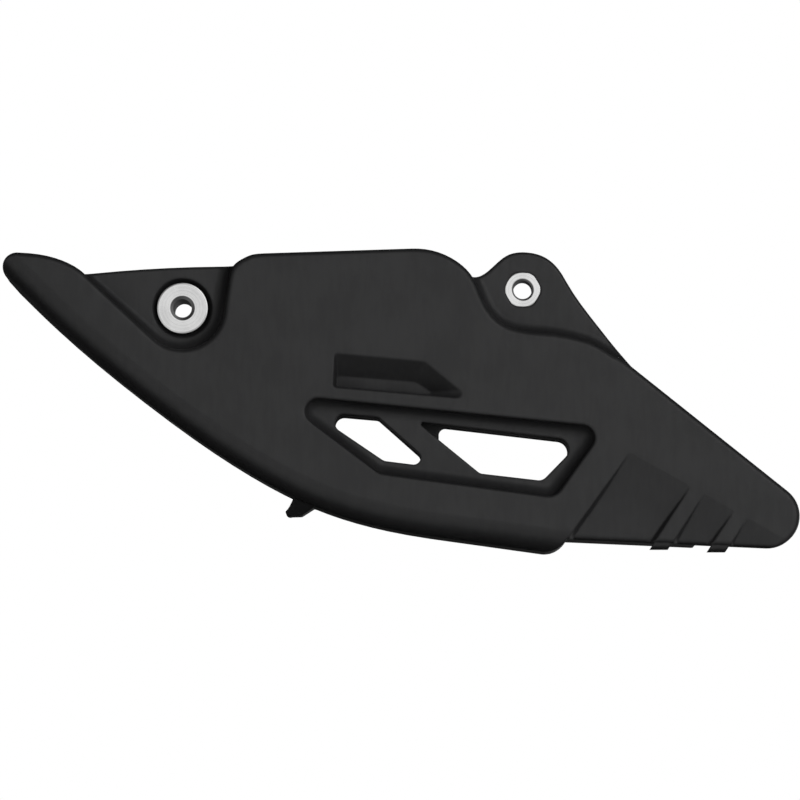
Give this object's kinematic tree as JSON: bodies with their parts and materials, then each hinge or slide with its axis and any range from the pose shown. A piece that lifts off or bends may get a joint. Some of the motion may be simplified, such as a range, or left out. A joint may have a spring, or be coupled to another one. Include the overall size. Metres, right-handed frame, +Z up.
{
  "type": "motorcycle chain guide",
  "caption": "Moulded black chain guide for an off-road motorcycle: U-shaped channel with ribbed tail, viewing windows, mounting ears and metal bolt sleeves.",
  "frame": {"origin": "on the front bolt axis, at the middle of the chain channel", "axes": "+X to the rear of the motorcycle, +Y inboard towards the wheel, +Z up as fitted to the swingarm"},
  "size_m": [0.2843, 0.0362, 0.1083],
  "materials": {
    "moulded_plastic": "satin moulded",
    "sleeve_metal": "turned satin"
  },
  "bodies": {
    "root": {"guide_body": "moulded_plastic", "front_sleeve": "sleeve_metal", "rear_sleeve": "sleeve_metal"}
  },
  "joints": []
}
